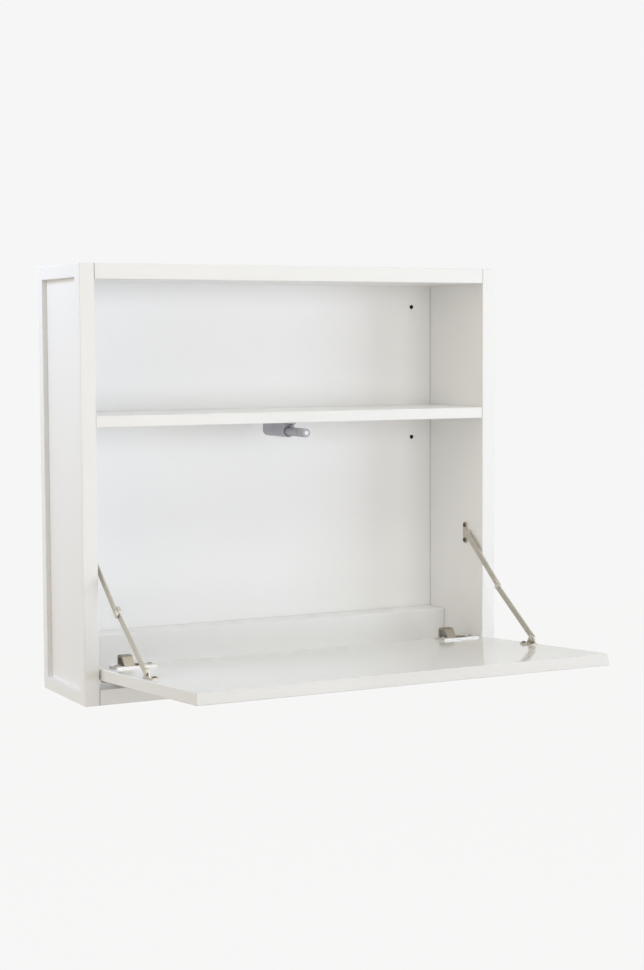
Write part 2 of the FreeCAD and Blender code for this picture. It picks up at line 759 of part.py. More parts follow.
def flap_bracket(pivot):
    """Bent bracket on the closed flap: a screwed foot and an upright ear beside the lower arm."""
    half_ear = flap_bracket_ear_base / 2
    foot_y = flap_thickness + flap_bracket_ear_foot_radius
    ear = layer_plate(
        [
            (foot_y, pivot.z - half_ear, flap_bracket_ear_foot_radius),
            (pivot.y, pivot.z, flap_bracket_ear_radius),
            (foot_y, pivot.z + half_ear, flap_bracket_ear_foot_radius),
        ],
        flap_ear_layer)
    near_x = inner_x - flap_ear_layer - flap_bracket_corner_radius
    far_x = near_x - flap_bracket_width + 2 * flap_bracket_corner_radius
    half_foot = flap_bracket_length / 2 - flap_bracket_corner_radius
    corners = [
        (far_x, pivot.z - half_foot, flap_bracket_corner_radius),
        (near_x, pivot.z - half_foot, flap_bracket_corner_radius),
        (near_x, pivot.z + half_foot, flap_bracket_corner_radius),
        (far_x, pivot.z + half_foot, flap_bracket_corner_radius),
    ]
    foot = belt_face(corners, lambda a, b: Vector(a, flap_thickness, b)).extrude(back * stay_sheet)
    holes = [wood_screw_hole(seat, -back) for seat in flap_bracket_seats(pivot)]
    reach = flap_ear_layer + stay_sheet + overrun
    holes.append(layer_rod(rivet_radius + stay_rivet_fit, reach, lower_arm_layer, pivot))
    return joined(ear, foot).cut(holes)


def stay_arm(first, second, width, layer):
    """Flat arm of the stay between two pivots, with a round eye at each end."""
    spine = [(point.y, point.z, width / 2) for point in (first, second)]
    strip = layer_plate(spine, layer)
    eyes = []
    holes = []
    for pivot in (first, second):
        eyes.append(layer_rod(stay_eye_radius, layer + stay_sheet, layer, pivot))
        reach = layer + stay_sheet + overrun
        holes.append(layer_rod(rivet_radius + stay_rivet_fit, reach, layer - overrun, pivot))
    return joined(strip, *eyes).cut(holes)


def lower_arm(flap_pivot, middle_pivot):
    """Lower arm of the stay, with a tail past the middle pivot that carries an upright lug."""
    along = Vector(middle_pivot - flap_pivot).normalize()
    aside = across.cross(along)
    tail_side = stay_lug_side + stay_lug_radius - stay_tail_radius
    tail = middle_pivot + along * stay_tail_reach + aside * tail_side
    tail_circles = [
        (tail.y, tail.z, stay_tail_radius),
        (middle_pivot.y, middle_pivot.z, stay_eye_radius),
    ]
    tail_plate = layer_plate(tail_circles, lower_arm_layer)
    spots = [middle_pivot + along * place + aside * stay_lug_side for place in reversed(stay_lug_places)]
    face_x = inner_x - lower_arm_layer - stay_sheet
    lug_face = belt_face(
        [(spot.y, spot.z, stay_lug_radius) for spot in spots], lambda a, b: Vector(face_x, a, b))
    lug = lug_face.extrude(across * -stay_lug_height)
    arm = stay_arm(flap_pivot, middle_pivot, stay_lower_arm_width, lower_arm_layer)
    reach = lower_arm_layer + stay_sheet + overrun
    eye = layer_rod(rivet_radius + stay_rivet_fit, reach, lower_arm_layer - overrun, middle_pivot)
    return joined(arm, tail_plate, lug).cut(eye)


def make_stays():
    """Both folding stays: brackets, arms and the rivets that each of them carries."""
    side_pivot = Vector(inner_x, stay_side_pivot_depth, stay_side_pivot_height)
    middle_pivot = Vector(inner_x, -stay_middle_pivot_reach, stay_middle_pivot_height)
    closed_pivot = Vector(
        inner_x, flap_thickness + stay_flap_pivot_rise, flap_bottom_z + stay_flap_pivot_distance)
    open_pivot = opened_point(closed_pivot)

    save_pair("stay_side_bracket", side_bracket(side_pivot))
    save_pair("stay_upper_arm", stay_arm(side_pivot, middle_pivot, stay_upper_arm_width, upper_arm_layer))
    save_pair("stay_lower_arm", lower_arm(open_pivot, middle_pivot))
    save_pair("stay_flap_bracket", swung_open(flap_bracket(closed_pivot)))

    upper_face = upper_arm_layer + stay_sheet
    lower_face = lower_arm_layer + stay_sheet
    ear_face = flap_ear_layer + stay_sheet
    collar = layer_rod(stay_eye_radius, upper_arm_layer, stay_sheet, side_pivot)
    side_shank = layer_rod(rivet_radius, upper_face + stay_rivet_proud, 0, side_pivot)
    save("stay_side_rivets", *with_twins([joined(side_shank, collar)]))

    tail = rivet_head(middle_pivot, upper_arm_layer, 1)
    upper_shank = layer_rod(rivet_radius, upper_face, upper_arm_layer, middle_pivot)
    save_pair("stay_upper_rivet", joined(upper_shank, tail))
    head = rivet_head(middle_pivot, lower_face, -1)
    lower_shank = layer_rod(rivet_radius, lower_face, lower_arm_layer, middle_pivot)
    save_pair("stay_lower_rivet", joined(lower_shank, head))

    ear_shank = layer_rod(rivet_radius, ear_face, lower_arm_layer - stay_rivet_proud, open_pivot)
    ear_head = rivet_head(open_pivot, ear_face, -1)
    save("stay_flap_rivets", *with_twins([joined(ear_shank, ear_head)]))

    side_screws = [wood_screw(seat, across) for seat in side_bracket_seats()]
    save("stay_side_screws", *with_twins(side_screws))
    flap_screws = [swung_open(wood_screw(seat, -back)) for seat in flap_bracket_seats(closed_pivot)]
    save("stay_flap_screws", *with_twins(flap_screws))
    return [wood_screw_hole(seat, -back) for seat in flap_bracket_seats(closed_pivot)]


def latch_screw_seats():
    """Where the two latch screws stand under the ears of the housing."""
    seat_z = shelf_bottom_height - latch_ear_thickness
    front_y = latch_housing_front - latch_front_ear_length + latch_ear_screw_margin
    rear_y = latch_housing_end + latch_rear_ear_length - latch_ear_screw_margin
    return [Vector(0, y, seat_z) for y in (front_y, rear_y)]


def latch_housing():
    """D-shaped housing of the latch with a rounded tail, an ear at each end and the plunger's bore."""
    half = latch_housing_width / 2
    top_z = shelf_bottom_height
    arch = belt_face(
        [(0, latch_axis_z, half), (0, top_z, half)],
        lambda a, b: Vector(a, latch_housing_front, b)).extrude(back * latch_housing_length)
    past_x = half + overrun
    above = block(
        Vector(-past_x, latch_housing_front - overrun, top_z),
        Vector(past_x, latch_housing_end + overrun, top_z + past_x))
    shell = arch.cut(above)
    tail_edges = [
        edge for edge in shell.Edges
        if abs(edge.BoundBox.YMin - latch_housing_end) < match_tolerance
        and abs(edge.BoundBox.YMax - latch_housing_end) < match_tolerance
        and edge.BoundBox.ZMin < latch_axis_z - match_tolerance
    ]
    shell = shell.makeFillet(latch_housing_end_radius, tail_edges)
    ear_ends = (latch_housing_front - latch_front_ear_length + half,
                latch_housing_end + latch_rear_ear_length - half)
    ears = belt_face(
        [(0, end, half) for end in ear_ends],
        lambda a, b: Vector(a, b, top_z - latch_ear_thickness)).extrude(up * latch_ear_thickness)
    bore_start = Vector(0, latch_housing_front - overrun, latch_axis_z)
    bore = rod(latch_plunger_diameter / 2 + latch_plunger_play, bore_start, back * (latch_bore_depth + overrun))
    mouth = rod(half - latch_mouth_wall, bore_start, back * (latch_mouth_depth + overrun))
    return joined(shell, ears).cut([bore, mouth])


def make_latch():
    """Push latch: a fixed housing, and a hollow plunger with a cap and a pale tip that slides in it."""
    seats = latch_screw_seats()
    screw_holes = [wood_screw_hole(seat, up) for seat in seats]
    save("latch_housing", latch_housing().cut(screw_holes))
    save("latch_screws", *[wood_screw(seat, up) for seat in seats])

    radius = latch_plunger_diameter / 2
    cap_start = Vector(0, -latch_cap_reach, latch_axis_z)
    cap_end = cap_start + back * latch_cap_length
    spigot_radius = latch_spigot_diameter / 2
    spigot_start = cap_end - back * latch_spigot_length
    tube_start = cap_end + back * latch_cap_gap
    tube_end_y = latch_housing_front + latch_plunger_hold
    tube = rod(radius, tube_start, back * (tube_end_y - tube_start.y))
    spigot = rod(spigot_radius, spigot_start, back * (latch_spigot_length + latch_cap_gap))
    bore_start = tube_start + back * latch_plunger_wall
    bore = rod(latch_plunger_bore / 2, bore_start, back * (tube_end_y + overrun - bore_start.y))
    save("latch_tube", joined(tube, spigot).cut(bore))

    cap = rod(radius, cap_start, back * latch_cap_length)
    nose = [edge for edge in cap.Edges if abs(edge.CenterOfMass.y - cap_start.y) < match_tolerance]
    cap = cap.makeFillet(latch_cap_edge_radius, nose)
    socket = rod(spigot_radius + latch_spigot_fit, spigot_start, back * (latch_spigot_length + overrun))
    tip_seat = rod(latch_tip_diameter / 2, cap_start - back * overrun, back * (latch_tip_depth + overrun))
    save("latch_cap", cap.cut([socket, tip_seat]))
    save("latch_tip", rod(latch_tip_diameter / 2, cap_start, back * latch_tip_depth))
    return screw_holes


def make_flap(bracket_holes):
    """The writing flap, with its bores for the hinge cups and its screw holes."""
    low = Vector(-inner_x + flap_side_gap, 0, flap_bottom_z)
    high = Vector(inner_x - flap_side_gap, flap_thickness, flap_top_z)
    every_arris = [
        first + second
        for first, second in (
            ("x-", "y-"), ("x-", "y+"), ("x+", "y-"), ("x+", "y+"), ("x-", "z-"), ("x-", "z+"),
            ("x+", "z-"), ("x+", "z+"), ("y-", "z-"), ("y-", "z+"), ("y+", "z-"), ("y+", "z+"))
    ]
    leaf = board(low, high, every_arris)
    bore_start = Vector(hinge_x, flap_thickness - cup_depth, cup_centre_z)
    cup_bore = rod(cup_diameter / 2, bore_start, back * (cup_depth + overrun))
    cup_holes = [wood_screw_hole(seat, -back) for seat in cup_screw_seats()]
    cuts = with_twins([cup_bore] + cup_holes + bracket_holes)
    save("flap", swung_open(leaf.cut(cuts)))


def main():
    os.makedirs("parts", exist_ok=True)
    joints = carcass_dowels()
    side_screw_holes = [wood_screw_hole(seat, across) for seat in side_bracket_seats()]
    hinge_screw_holes = [wood_screw_hole(seat, -up) for seat in plate_screw_seats()]
    make_sides(joints, side_screw_holes)
    latch_screw_holes = make_latch()
    make_spanning_boards(joints, hinge_screw_holes, latch_screw_holes)
    make_hinges()
    flap_bracket_holes = make_stays()
    make_flap(flap_bracket_holes)
    dowels = [pin for part in joints.values() for pin, hole in part]
    save("wood_dowels", *with_twins(dowels))


main()
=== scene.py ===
"""Fold-down wall desk: finishes for its boards and fittings, cross-head screws, and a plain studio."""

import json
import math

import bmesh
import bpy
from bpy.props import FloatProperty, FloatVectorProperty, IntProperty, PointerProperty
from mathutils import Matrix, Vector


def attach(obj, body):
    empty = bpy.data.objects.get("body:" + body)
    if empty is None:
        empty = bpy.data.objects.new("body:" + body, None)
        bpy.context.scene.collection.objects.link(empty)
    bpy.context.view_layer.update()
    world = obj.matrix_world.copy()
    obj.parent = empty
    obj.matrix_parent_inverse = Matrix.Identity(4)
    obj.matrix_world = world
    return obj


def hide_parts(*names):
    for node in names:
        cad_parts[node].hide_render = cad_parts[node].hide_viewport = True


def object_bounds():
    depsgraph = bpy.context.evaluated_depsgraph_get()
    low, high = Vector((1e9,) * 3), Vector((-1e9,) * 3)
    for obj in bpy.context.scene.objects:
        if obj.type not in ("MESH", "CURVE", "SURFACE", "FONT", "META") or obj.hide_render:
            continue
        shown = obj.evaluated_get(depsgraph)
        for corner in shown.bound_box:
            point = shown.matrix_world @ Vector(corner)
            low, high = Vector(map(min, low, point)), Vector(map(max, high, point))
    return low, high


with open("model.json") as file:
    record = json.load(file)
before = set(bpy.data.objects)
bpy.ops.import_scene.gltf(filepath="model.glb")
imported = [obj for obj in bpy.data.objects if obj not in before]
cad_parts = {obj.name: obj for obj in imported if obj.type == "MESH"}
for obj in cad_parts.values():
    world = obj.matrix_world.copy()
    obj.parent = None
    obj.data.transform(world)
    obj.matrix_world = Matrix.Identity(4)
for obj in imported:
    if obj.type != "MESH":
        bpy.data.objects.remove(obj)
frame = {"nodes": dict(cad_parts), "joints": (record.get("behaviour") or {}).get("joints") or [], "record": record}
cad_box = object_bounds()

bl_info = {
    "name": "Fold Down Wall Desk",
    "version": (1, 0, 0),
    "blender": (4, 5, 0),
    "location": "3D View > Sidebar > Desk",
    "description": "Finishes a fold-down wall desk with lacquer, nickel fittings, screws and studio light",
    "category": "Object",
}

MM = 0.001
WELD_DISTANCE = 0.01 * MM
SHARP_ANGLE = math.radians(35)
QUARTER_TURN = math.pi / 2
SOFT_DETAIL = 2.0
HEAD_SEGMENTS = 32
HEAD_RINGS = 16
SHANK_SEGMENTS = 16
CUTTER_OVERRUN_SHARE = 0.1

# Which nodes share a finish
SIDES = ("left", "right")
SIDE_BOARDS = [
    "%s_%s" % (side, piece)
    for side in SIDES
    for piece in ("front_stile", "rear_stile", "side_top_rail", "side_bottom_rail", "side_panel")
]
CROSS_BOARDS = ["top_panel", "bottom_panel", "ledge_riser"]
INNER_BOARDS = ["shelf", "ledge_top"]
HINGE_CUPS = [side + "_hinge_cup" for side in SIDES]
HINGE_ARMS = ["%s_%s" % (side, piece) for side in SIDES for piece in ("hinge_arm", "hinge_plate")]
HINGE_PINS = [side + "_hinge_pin" for side in SIDES]
STAY_PIECES = [
    "%s_stay_%s" % (side, piece)
    for side in SIDES
    for piece in ("side_bracket", "upper_arm", "lower_arm", "flap_bracket")
]
STAY_RIVETS = ["%s_stay_%s_rivet" % (side, arm) for side in SIDES for arm in ("upper", "lower")] + [
    "stay_side_rivets",
    "stay_flap_rivets",
]

# The open flap's upper face leans back by what its swing lacks of a right angle
flap_swing = math.radians(
    max(joint["range_deg"][1] for joint in frame["joints"] if joint["name"] == "flap_hinge"))
FLAP_UP = Vector((0, math.cos(flap_swing), math.sin(flap_swing)))
UP = Vector((0, 0, 1))
ACROSS = Vector((1, 0, 0))
wall_holes = next(mount for mount in frame["record"]["mounts"] if mount["name"] == "wall_holes")
HOLE_HALF_WIDTH = wall_holes["dims"]["spacing_x_mm"] / 2 * MM
HOLE_HALF_HEIGHT = wall_holes["dims"]["spacing_y_mm"] / 2 * MM
HOLE_RADIUS = wall_holes["dims"]["hole_r_mm"] * MM
INNER_HALF_WIDTH = max(vert.co.x for vert in frame["nodes"]["shelf"].data.vertices)
BACK_FACE_DEPTH = max(-vert.co.y for vert in frame["nodes"]["back_panel"].data.vertices)


def colour_prop(name, description, default):
    """A colour that a user can change."""
    return FloatVectorProperty(
        name=name, description=description, default=default, size=3, min=0, max=1, subtype="COLOR")


def share_prop(name, description, default):
    """A share from none to all."""
    return FloatProperty(
        name=name, description=description, default=default, min=0, max=1, subtype="FACTOR")


def length_prop(name, description, default):
    """A length in metres."""
    return FloatProperty(name=name, description=description, default=default, unit="LENGTH", precision=5)


def place_prop(name, description, default):
    """A place in metres."""
    return FloatVectorProperty(
        name=name, description=description, default=default, subtype="TRANSLATION", precision=4)


def strength_prop(name, description, default):
    """A number from nought up, such as a strength."""
    return FloatProperty(name=name, description=description, default=default, min=0)


def power_prop(name, description, default):
    """A lamp's power in watts."""
    return FloatProperty(name=name, description=description, default=default, min=0, unit="POWER")


def angle_prop(name, description, degrees):
    """An angle, given in degrees."""
    return FloatProperty(
        name=name, description=description, default=math.radians(degrees), subtype="ANGLE")


class DeskLacquerSettings(bpy.types.PropertyGroup):
    """White lacquer of the boards."""

    board_colour: colour_prop("Board Colour", "Lacquer of the carcass boards", (0.945, 0.945, 0.945))
    # Painted light: the back panel's white is set lighter than the boards' to lift the shaded inside of the desk
    back_painted_light_colour: colour_prop("Back Colour", "Lacquer of the back panel", (0.965, 0.965, 0.965))
    # Painted shade: the flap's white is set greyer than the boards' to dim its upper face
    flap_shaded_colour: colour_prop("Flap Colour", "Lacquer of the flap", (0.90, 0.90, 0.895))
    raw_colour: colour_prop("Raw Board", "Bare board inside the wall holes", (0.10, 0.065, 0.04))
    board_roughness: share_prop("Board Roughness", "How dull the carcass boards are", 0.32)
    board_shine: share_prop("Board Shine", "How strongly the carcass boards reflect", 0.45)
    flap_roughness: share_prop("Flap Roughness", "How dull the flap is", 0.08)
    flap_shine: share_prop("Flap Shine", "How strongly the flap reflects", 0.2)
    tone_width: length_prop("Tone Width", "Width of the slow changes of tone", 0.18)
    tone_spread: share_prop("Tone Spread", "How far the lacquer's tone wanders over a board", 0.02)
    gloss_width: length_prop("Gloss Width", "Width of the slow changes of gloss", 0.06)
    gloss_spread: share_prop("Gloss Spread", "How far the gloss wanders over a board", 0.15)
    peel_width: length_prop("Peel Width", "Width of the waves that spraying leaves in lacquer", 0.0025)
    peel_height: length_prop("Peel Height", "Height of those waves", 0.000012)
    raw_grain_width: length_prop("Raw Grain Width", "Width of the chips in the bare board", 0.0012)
    raw_spread: share_prop("Raw Spread", "How far the tone of those chips wanders", 0.4)
    raw_margin_share: share_prop("Raw Margin", "How far the bare board spreads past a hole's wall", 0.06)
    # Painted shade: a dark line along the inner corners where two boards meet, standing in for the shadow in the
    # joint
    shade_seam_width: length_prop("Seam Width", "Width of the dark line where two boards meet", 0.0007)
    shade_seam_tone: share_prop("Seam Tone", "Tone of that line against the lacquer", 0.45)


class DeskDowelSettings(bpy.types.PropertyGroup):
    """Beech dowels."""

    colour: colour_prop("Beech Colour", "Plain beech", (0.58, 0.40, 0.24))
    roughness: share_prop("Roughness", "How dull the wood is", 0.6)
    fleck_width: length_prop("Fleck Width", "Width of the wood's fleck", 0.0008)
    fleck_stretch: share_prop("Fleck Stretch", "Width of a fleck against its length", 0.1)
    fleck_spread: share_prop("Fleck Spread", "How far the fleck's tone wanders", 0.25)
    fleck_detail: strength_prop("Fleck Detail", "Fineness of the fleck", 4.0)
    fleck_depth: length_prop("Fleck Depth", "Depth of the fleck", 0.00005)


class DeskMetalSettings(bpy.types.PropertyGroup):
    """Plated fittings."""

    cup_colour: colour_prop("Cup Colour", "Bright nickel of the hinge cups", (0.64, 0.62, 0.59))
    # Painted shade: the hinge arms' nickel is set darker than the cups' to stand in for the dim reflections on
    # them
    hinge_shaded_colour: colour_prop("Hinge Colour", "Nickel of the hinge arms", (0.345, 0.312, 0.258))
    stay_colour: colour_prop("Stay Colour", "Nickel of the stays", (0.57, 0.53, 0.46))
    rivet_colour: colour_prop("Rivet Colour", "Nickel of the rivets and pins", (0.66, 0.63, 0.58))
    screw_colour: colour_prop(
        "Screw Colour", "Dark plating of the stay and latch screws", (0.16, 0.13, 0.10))
    hinge_screw_colour: colour_prop(
        "Hinge Screw Colour", "Nickel of the hinge screws", (0.44, 0.40, 0.34))
    cup_roughness: share_prop("Cup Roughness", "How dull the plating of the cups is", 0.44)
    roughness: share_prop("Roughness", "How dull the plating of the other fittings is", 0.46)
    cloud_width: length_prop("Cloud Width", "Width of the cloudy spots in the plating", 0.009)
    tone_spread: share_prop("Tone Spread", "How far the tone of those spots wanders", 0.08)
    gloss_spread: share_prop("Gloss Spread", "How far the gloss of those spots wanders", 0.27)
    grain_width: length_prop("Grain Width", "Width of the fine rolling marks in the sheet", 0.0004)
    grain_stretch: share_prop("Grain Stretch", "Width of a rolling mark against its length", 0.12)
    grain_depth: length_prop("Grain Depth", "Depth of the rolling marks", 0.000006)


class DeskLatchSettings(bpy.types.PropertyGroup):
    """Moulded push latch."""

    housing_colour: colour_prop("Housing Colour", "Grey of the housing and plunger", (0.45, 0.45, 0.505))
    cap_colour: colour_prop("Cap Colour", "Grey of the plunger's cap", (0.435, 0.435, 0.505))
    tip_colour: colour_prop("Tip Colour", "Soft pad in the cap", (0.88, 0.88, 0.88))
    roughness: share_prop("Roughness", "How dull the moulding is", 0.42)
    grain_width: length_prop("Grain Width", "Width of the moulding's fine texture", 0.0006)
    grain_depth: length_prop("Grain Depth", "Depth of that texture", 0.00003)
    tone_spread: share_prop("Tone Spread", "How far the tone of that texture wanders", 0.07)
    gloss_spread: share_prop("Gloss Spread", "How far the gloss of that texture wanders", 0.18)


class DeskScrewSettings(bpy.types.PropertyGroup):
    """Cross-head screws."""

    wood_head: length_prop("Wood Screw Head", "Diameter of a wood screw's head", 0.007)
    wood_rise: length_prop("Wood Screw Rise", "Height of a wood screw's head", 0.002)
    wood_shank: length_prop("Wood Screw Shank", "Diameter of a wood screw's shank", 0.0035)
    wood_reach: length_prop("Wood Screw Reach", "Length of a wood screw under its head", 0.011)
    arm_head: length_prop("Arm Screw Head", "Diameter of a hinge arm screw's head", 0.006)
    arm_rise: length_prop("Arm Screw Rise", "Height of a hinge arm screw's head", 0.0016)
    arm_shank: length_prop("Arm Screw Shank", "Diameter of a hinge arm screw's shank", 0.003)
    arm_reach: length_prop("Arm Screw Reach", "Length of a hinge arm screw under its head", 0.005)
    cross_width_share: share_prop("Cross Width", "Width of the driver's cross against the head", 0.16)
    cross_span_share: share_prop("Cross Span", "Span of the driver's cross against the head", 0.6)
    cross_depth_share: share_prop(
        "Cross Depth", "Depth of the driver's cross against the head's rise", 0.7)
    tip_share: share_prop("Tip Width", "Width of a shank's tip against the shank", 0.6)
    overlap_share: share_prop("Overlap", "How far a shank reaches into the head against its rise", 0.15)
    seed: IntProperty(name="Seed", description="Seed for how far each screw is turned", default=4)


class DeskStageSettings(bpy.types.PropertyGroup):
    """Floor, light and camera."""

    backdrop_colour: colour_prop("Backdrop", "Colour behind the desk", (0.922, 0.922, 0.922))
    floor_colour: colour_prop("Floor", "Colour of the floor", (0.62, 0.58, 0.52))
    floor_drop: length_prop("Floor Drop", "How far the floor lies below the desk", 0.70)
    floor_width: length_prop("Floor Width", "Width of the square floor", 9.0)
    shadow_share: share_prop("Shadow Share", "How much of the floor's own shading is seen", 0.07)
    floor_glow: strength_prop("Floor Glow", "Strength of the floor's backdrop colour", 1.055)
    sky_colour: colour_prop("Sky Colour", "Tint of the light from both sides", (1.0, 0.92, 0.79))
    sky_left: strength_prop("Sky Left", "Strength of the sky straight to the left", 1.19)
    sky_right: strength_prop("Sky Right", "Strength of the sky straight to the right", 0.688)
    front_power: power_prop("Front", "Lamp in front", 25.2)
    front_colour: colour_prop("Front Colour", "Tint of the lamp in front", (0.955, 0.968, 1.0))
    front_width: length_prop("Front Width", "Width of the lamp in front", 1.7)
    front_place: place_prop("Front Place", "Where the lamp in front stands", (0.5, -3.3, 0.0))
    right_power: power_prop("Right", "Lamp at the right", 23.6)
    right_colour: colour_prop("Right Colour", "Tint of the lamp at the right", (0.70, 0.805, 1.0))
    right_width: length_prop("Right Width", "Width of the lamp at the right", 1.4)
    right_place: place_prop("Right Place", "Where the lamp at the right stands", (2.4, -2.2, -0.1))
    top_power: power_prop("Top", "Lamp above", 13.0)
    top_colour: colour_prop("Top Colour", "Tint of the lamp above", (0.966, 1.0, 0.90))
    top_width: length_prop("Top Width", "Width of the lamp above", 1.2)
    top_place: place_prop("Top Place", "Where the lamp above hangs", (0.2, -1.4, 1.9))
    fill_power: power_prop("Fill", "Small lamp at the left, above and behind", 6.8)
    fill_colour: colour_prop("Fill Colour", "Tint of the small lamp", (0.60, 0.75, 1.0))
    fill_width: length_prop("Fill Width", "Width of the small lamp", 0.5)
    fill_place: place_prop("Fill Place", "Where the small lamp stands", (-1.1, 0.2, 0.75))
    lamp_target: place_prop("Lamp Target", "Where the lamps point", (0.0, -0.1, -0.15))
    lens: FloatProperty(name="Lens", description="Focal length in millimetres", default=70.48, min=1)
    camera_place: place_prop("Camera Place", "Where the camera stands", (-1.1940, -2.5657, 0.0473))
    camera_yaw: angle_prop("Camera Yaw", "Turn to the right", 27.1465)
    camera_pitch: angle_prop("Camera Pitch", "Lean down", 4.3135)
    camera_roll: angle_prop("Camera Roll", "Turn about the view", -0.2607)


def rgba(colour):
    """A colour property as a socket's four values."""
    return (*colour, 1.0)


class Nodes:
    """Short way to add nodes to a tree and join their sockets."""

    def __init__(self, tree):
        self.tree = tree

    def add(self, kind, settings=None, **inputs):
        """Add a node, set its options, and set or link its inputs by name."""
        node = self.tree.nodes.new(kind)
        for name, value in (settings or {}).items():
            setattr(node, name, value)
        for name, value in inputs.items():
            self.put(node.inputs[name.replace("_", " ")], value)
        return node

    def put(self, socket, value):
        """Link an output to a socket, or set the socket's own value."""
        if isinstance(value, bpy.types.NodeSocket):
            self.tree.links.new(value, socket)
        else:
            socket.default_value = value

    def maths(self, operation, first, second=0.0):
        """The result of one sum."""
        node = self.add("ShaderNodeMath", {"operation": operation})
        self.put(node.inputs[0], first)
        self.put(node.inputs[1], second)
        return node.outputs[0]

    def vector(self, x=0.0, y=0.0, z=0.0):
        """Three numbers as a vector."""
        return self.add("ShaderNodeCombineXYZ", X=x, Y=y, Z=z).outputs[0]

    def spread(self, value, low, high):
        """Stretch a value of nought to one to a range."""
        node = self.add("ShaderNodeMapRange", To_Min=low, To_Max=high)
        self.put(node.inputs["Value"], value)
        return node.outputs[0]

    def blend_colour(self, share, first, second):
        """Mix two colours by a share."""
        node = self.add("ShaderNodeMix", {"data_type": "RGBA"})
        colours = [socket for socket in node.inputs if socket.type == "RGBA"]
        self.put(node.inputs[0], share)
        self.put(colours[0], first)
        self.put(colours[1], second)
        return next(socket for socket in node.outputs if socket.type == "RGBA")

    def noise(self, place, width, detail=SOFT_DETAIL):
        """Soft noise with features of about the given width."""
        node = self.add("ShaderNodeTexNoise", Vector=place, Scale=1 / width, Detail=detail)
        return node.outputs[0]


def new_finish(name, roughness, metallic=0.0):
    """A material with its shader and the object's own coordinates."""
    material = bpy.data.materials.new(name)
    material.use_nodes = True
    nodes = Nodes(material.node_tree)
    shader = material.node_tree.nodes["Principled BSDF"]
    shader.inputs["Roughness"].default_value = roughness
    shader.inputs["Metallic"].default_value = metallic
    place = nodes.add("ShaderNodeTexCoord").outputs["Object"]
    return material, nodes, shader, place


def add_bump(nodes, shader, height, depth):
    """Let a height pattern press into the surface."""
    bump = nodes.add("ShaderNodeBump", Distance=depth, Height=height)
    nodes.put(shader.inputs["Normal"], bump.outputs[0])


def toned(nodes, colour, pattern, spread):
    """A colour that gets a little lighter and darker with a pattern."""
    dark = rgba([channel * (1 - spread) for channel in colour])
    light = rgba([min(channel * (1 + spread), 1) for channel in colour])
    return nodes.blend_colour(pattern, dark, light)


def glossed(nodes, roughness, pattern, spread):
    """A roughness that gets a little lower and higher with a pattern."""
    return nodes.spread(pattern, roughness * (1 - spread), roughness * (1 + spread))


def lacquer(name, settings, colour, roughness, shine, shade_seams=(), raw_holes=False):
    """Sprayed lacquer: slow changes of tone and gloss, fine waves, painted shade along the inner corners where
    boards meet, bare board in the holes.
    """
    material, nodes, shader, place = new_finish(name, roughness)
    shader.inputs["Specular IOR Level"].default_value = shine
    paint = toned(nodes, colour, nodes.noise(place, settings.tone_width), settings.tone_spread)
    gloss = glossed(nodes, roughness, nodes.noise(place, settings.gloss_width), settings.gloss_spread)
    # Painted shade: a thin darker strip of lacquer along each inner corner where boards meet
    dark = rgba([channel * settings.shade_seam_tone for channel in colour])
    for axis, middle in shade_seams:
        seam = strip_mask(nodes, place, axis, middle, settings.shade_seam_width)
        paint = nodes.blend_colour(seam, paint, dark)
    if raw_holes:
        bare = hole_mask(nodes, place, HOLE_RADIUS * (1 + settings.raw_margin_share))
        grain = nodes.noise(place, settings.raw_grain_width)
        chips = toned(nodes, settings.raw_colour, grain, settings.raw_spread)
        paint = nodes.blend_colour(bare, paint, chips)
        gloss = nodes.maths("MAXIMUM", gloss, bare)
    nodes.put(shader.inputs["Base Color"], paint)
    nodes.put(shader.inputs["Roughness"], gloss)
    add_bump(nodes, shader, nodes.noise(place, settings.peel_width), settings.peel_height)
    return material


def past(nodes, along, middle):
    """How far a coordinate lies past a distance to either side of nought."""
    return nodes.maths("SUBTRACT", nodes.maths("ABSOLUTE", along), middle)


def strip_mask(nodes, place, axis, middle, width):
    """One within a strip at the same distance on either side of nought, and nought elsewhere."""
    off = past(nodes, nodes.add("ShaderNodeSeparateXYZ", Vector=place).outputs[axis], middle)
    return nodes.maths("LESS_THAN", nodes.maths("ABSOLUTE", off), width / 2)


def hole_mask(nodes, place, radius):
    """One within a radius of the four wall holes' axes and nought elsewhere."""
    parts = nodes.add("ShaderNodeSeparateXYZ", Vector=place).outputs
    aside = past(nodes, parts["X"], HOLE_HALF_WIDTH)
    above = past(nodes, parts["Z"], HOLE_HALF_HEIGHT)
    reach = nodes.maths("SQRT", nodes.maths(
        "ADD", nodes.maths("MULTIPLY", aside, aside), nodes.maths("MULTIPLY", above, above)))
    return nodes.maths("LESS_THAN", reach, radius)


def plating(name, settings, colour, roughness):
    """Plated steel sheet: cloudy gloss and fine rolling marks."""
    material, nodes, shader, place = new_finish(name, roughness, metallic=1.0)
    stretch = (1, settings.grain_stretch, settings.grain_stretch)
    marks = nodes.add("ShaderNodeMapping", Vector=place, Scale=stretch)
    grain = nodes.noise(marks.outputs[0], settings.grain_width)
    cloud = nodes.noise(place, settings.cloud_width)
    nodes.put(shader.inputs["Base Color"], toned(nodes, colour, cloud, settings.tone_spread))
    nodes.put(shader.inputs["Roughness"], glossed(nodes, roughness, cloud, settings.gloss_spread))
    add_bump(nodes, shader, grain, settings.grain_depth)
    return material


def moulding(name, settings, colour):
    """Moulded plastic: a fine even texture with a little sheen."""
    material, nodes, shader, place = new_finish(name, settings.roughness)
    grain = nodes.noise(place, settings.grain_width)
    nodes.put(shader.inputs["Base Color"], toned(nodes, colour, grain, settings.tone_spread))
    gloss = glossed(nodes, settings.roughness, grain, settings.gloss_spread)
    nodes.put(shader.inputs["Roughness"], gloss)
    add_bump(nodes, shader, grain, settings.grain_depth)
    return material


